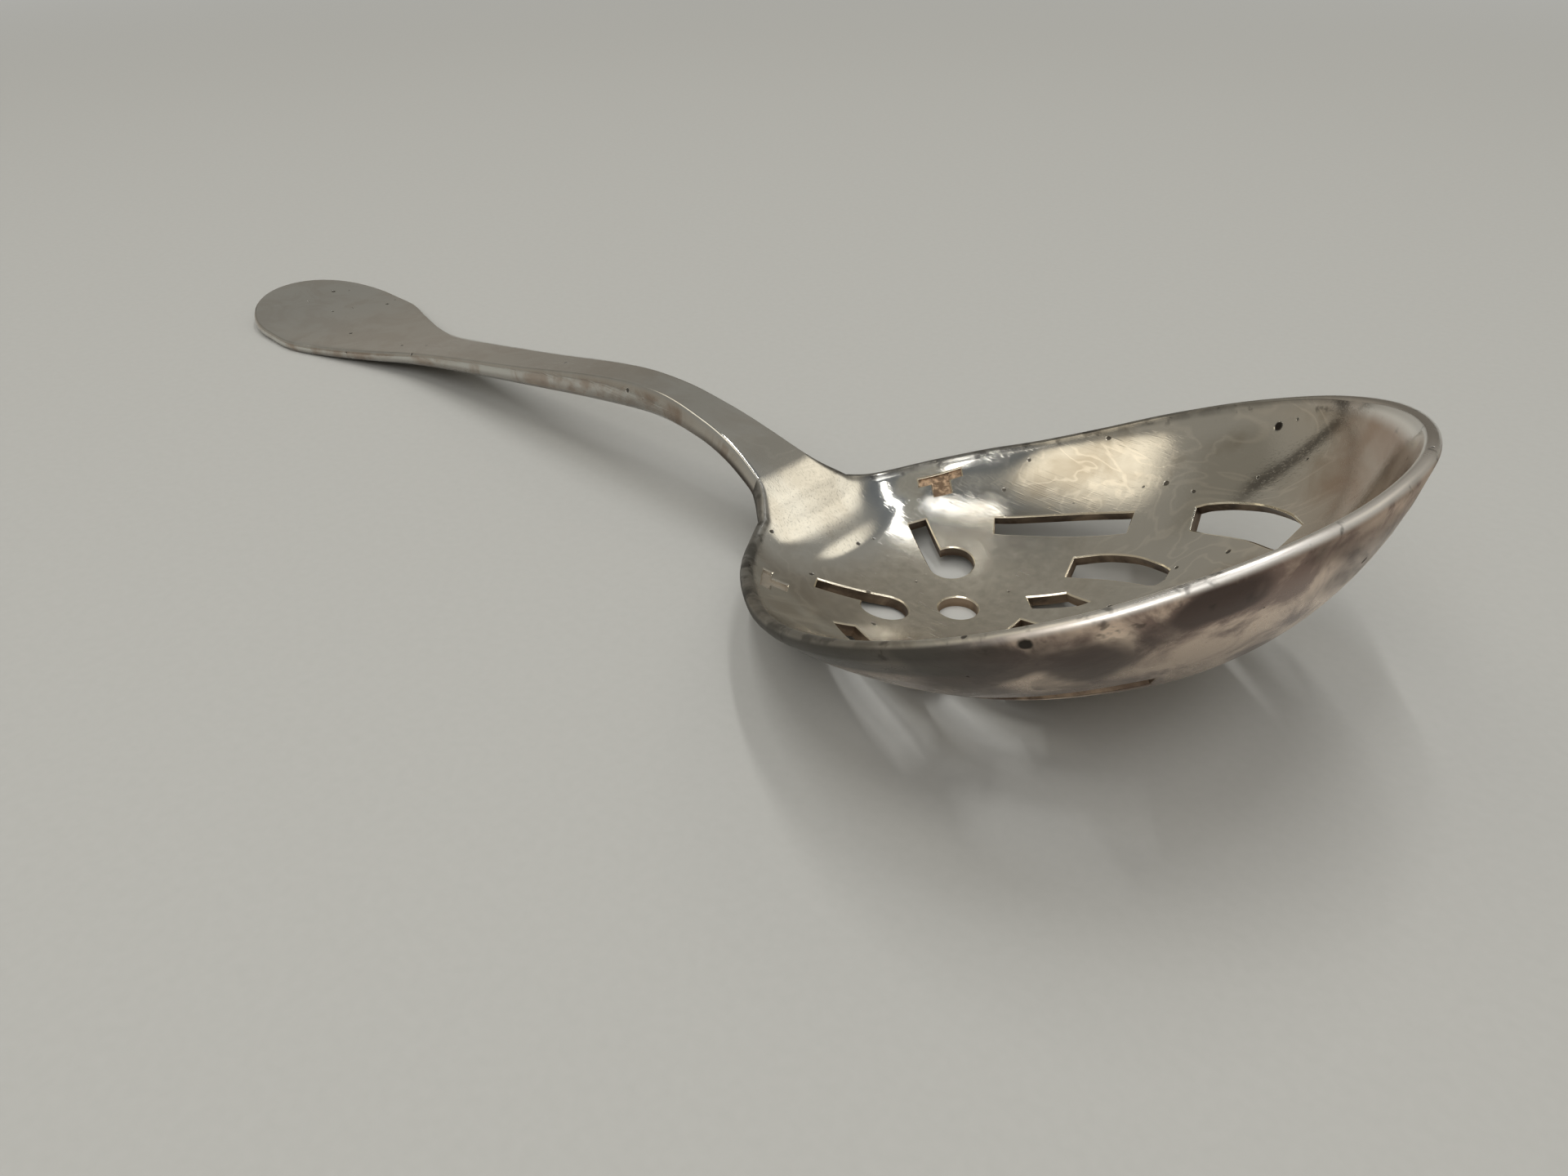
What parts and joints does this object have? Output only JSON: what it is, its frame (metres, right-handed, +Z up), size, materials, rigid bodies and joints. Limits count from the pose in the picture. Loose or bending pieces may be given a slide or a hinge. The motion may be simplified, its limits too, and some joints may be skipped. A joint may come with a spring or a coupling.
{
  "type": "pierced olive spoon",
  "caption": "Serving spoon with a deep pierced bowl, a bevelled arched stem and a rounded paddle end, for lifting olives clear of their brine.",
  "frame": {"origin": "on the table plane, under the middle of the spoon's overall length and width, with the spoon lying bowl up at rest", "axes": "+X along the spoon from the handle end to the bowl tip, +Y to the left seen from the handle looking to the bowl, +Z up"},
  "size_m": [0.1984, 0.0642, 0.0337],
  "materials": {
    "silver_plate": "old polished silver plate, finely scratched, worn to warm base metal at pierced edges, lightly tarnished outside"
  },
  "bodies": {
    "root": {"bowl": "silver_plate", "handle": "silver_plate"}
  },
  "joints": []
}
